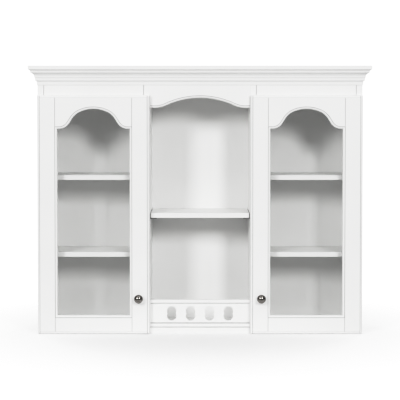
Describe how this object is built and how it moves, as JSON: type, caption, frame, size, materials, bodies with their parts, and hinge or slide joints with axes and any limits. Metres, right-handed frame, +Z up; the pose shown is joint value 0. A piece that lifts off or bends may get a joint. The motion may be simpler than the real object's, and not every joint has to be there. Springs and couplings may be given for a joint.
{
  "type": "wall storage cabinet",
  "caption": "White painted wall storage cabinet or hutch with arched glazed doors either side of an open bay, a pierced gallery rail, a centre shelf and a crown moulding",
  "frame": {"origin": "middle of the underside of the closed cabinet's box, knobs and crown included", "axes": "+Z up, the doors face -Y, +X is to the right of someone who faces the cabinet"},
  "size_m": [1.147, 0.29, 0.9],
  "materials": {
    "paint": "satin white lacquer sprayed on MDF and hardwood",
    "paint_inside": "satin white lacquer, hidden faces",
    "back_panel": "white lacquered thin MDF sheet",
    "glass": "clear float glass",
    "knob": "dark pewter plated zinc casting",
    "black_angle": "black powder coated steel",
    "nickel": "nickel plated steel",
    "bumper": "clear polyurethane",
    "beech_dowel": "bare beech"
  },
  "bodies": {
    "carcass": {"angle_screws": "black_angle", "back_panel": "back_panel", "bottom_board": "paint", "carcass_dowels": "beech_dowel", "centre_shelf": "paint", "centre_valance": "paint", "crown_battens": "paint_inside", "crown_front": "paint", "crown_left": "paint", "crown_right": "paint", "frieze_rail_left": "paint", "frieze_rail_right": "paint", "gallery_rail": "paint", "hanging_rails": "paint_inside", "hinge_arm_pins": "nickel", "hinge_arm_screws": "nickel", "hinge_arms_left": "nickel", "hinge_arms_right": "nickel", "hinge_plate_screws": "nickel", "hinge_plates": "nickel", "lower_shelf_left": "paint", "lower_shelf_right": "paint", "partition_left": "paint", "partition_right": "paint", "shelf_angle_left": "black_angle", "shelf_angle_right": "black_angle", "shelf_pins": "nickel", "side_panel_left": "paint", "side_panel_right": "paint", "top_board": "paint", "upper_shelf_left": "paint", "upper_shelf_right": "paint"},
    "left_hinge_links": {"hinge_links_left": "nickel"},
    "right_hinge_links": {"hinge_links_right": "nickel"},
    "left_door": {"arched_rail_left": "paint", "bottom_rail_left": "paint", "door_bumpers_left": "bumper", "door_knob_left": "knob", "glass_beads_left": "paint", "glass_pane_left": "glass", "hinge_cup_pins_left": "nickel", "hinge_cup_screws_left": "nickel", "hinge_cups_left": "nickel", "hinge_stile_left": "paint", "knob_screw_left": "nickel", "knob_stile_left": "paint"},
    "right_door": {"arched_rail_right": "paint", "bottom_rail_right": "paint", "door_bumpers_right": "bumper", "door_knob_right": "knob", "glass_beads_right": "paint", "glass_pane_right": "glass", "hinge_cup_pins_right": "nickel", "hinge_cup_screws_right": "nickel", "hinge_cups_right": "nickel", "hinge_stile_right": "paint", "knob_screw_right": "nickel", "knob_stile_right": "paint"}
  },
  "joints": [
    {"name": "left_link_swing", "type": "hinge", "parent": "carcass", "child": "left_hinge_links", "pos_m": [-0.516, -0.099, 0], "axis": [0, 0, 1], "range_deg": [0, 34.12]},
    {"name": "left_door_swing", "type": "hinge", "parent": "left_hinge_links", "child": "left_door", "pos_m": [-0.5341, -0.1, 0], "axis": [0, 0, -1], "range_deg": [0, 139.12]},
    {"name": "right_link_swing", "type": "hinge", "parent": "carcass", "child": "right_hinge_links", "pos_m": [0.516, -0.099, 0], "axis": [0, 0, -1], "range_deg": [0, 34.12]},
    {"name": "right_door_swing", "type": "hinge", "parent": "right_hinge_links", "child": "right_door", "pos_m": [0.5341, -0.1, 0], "axis": [0, 0, 1], "range_deg": [0, 139.12]}
  ],
  "couplings": [
    {"joint": "left_door_swing", "follows": "left_link_swing", "ratio": 4.0769},
    {"joint": "right_door_swing", "follows": "right_link_swing", "ratio": 4.0769}
  ]
}
